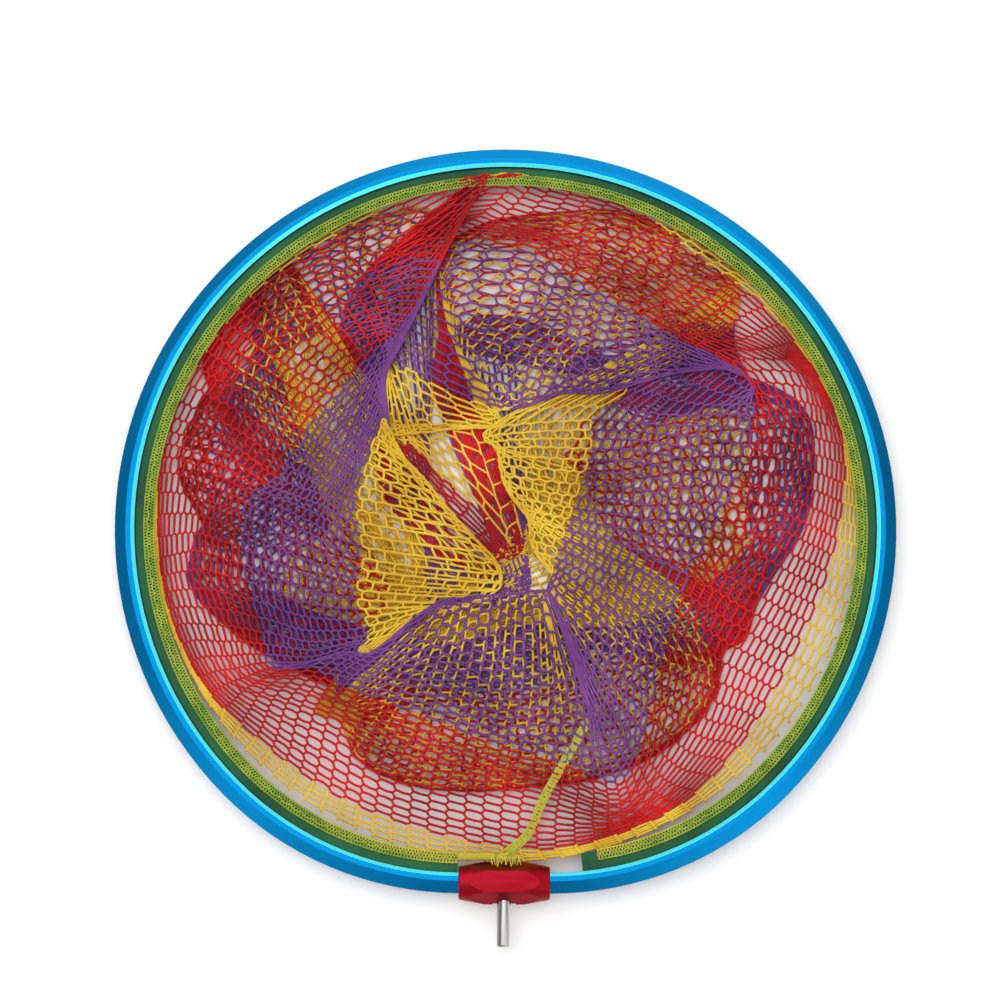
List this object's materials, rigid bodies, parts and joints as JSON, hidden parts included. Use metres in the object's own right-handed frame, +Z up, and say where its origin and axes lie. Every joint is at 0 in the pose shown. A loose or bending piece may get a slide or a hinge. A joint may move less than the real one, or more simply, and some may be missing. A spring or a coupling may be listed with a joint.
{
  "type": "landing net head",
  "caption": "Round aluminium hoop of a hand net with a barrel connector, a plain steel stud for the handle, and a knitted mesh bag in coloured bands lying folded inside the hoop.",
  "frame": {"origin": "on the stud's axis where the stud leaves the connector, which is where the handle's end seats", "axes": "-Y along the stud towards the handle, +Y across the hoop, +Z up, square to the hoop's plane, +X to the right seen from the handle"},
  "size_m": [0.45, 0.4691, 0.0206],
  "materials": {
    "blue_anodised": "glossy blue anodising",
    "red_anodised": "satin red anodising",
    "stainless": "drawn bar, bright",
    "screw_steel": "dark, plain",
    "green_strip": "smooth, slightly shiny",
    "lime_braid": "openwork braid",
    "lime_thread": "twisted thread",
    "yellow_yarn": "knitted mesh",
    "red_yarn": "knitted mesh",
    "purple_yarn": "knitted mesh"
  },
  "bodies": {
    "root": {"hoop_rim": "blue_anodised", "connector_barrel": "red_anodised", "handle_stud": "stainless", "stud_lock_screw": "screw_steel", "rim_clamp_screws": "screw_steel", "keeper_strip": "green_strip", "edge_tape": "lime_braid", "tape_stitching": "lime_thread", "tape_binding": "lime_braid", "tape_tail": "lime_braid", "seam_tape": "lime_braid", "seam_stitching": "lime_thread", "net_yellow_rim_band": "yellow_yarn", "net_red_upper_band": "red_yarn", "net_purple_upper_band": "purple_yarn", "net_yellow_fold_band": "yellow_yarn", "net_red_fold_band": "red_yarn", "net_purple_lower_band": "purple_yarn", "net_yellow_bottom": "yellow_yarn", "bottom_gather_cord": "lime_thread"}
  },
  "joints": []
}
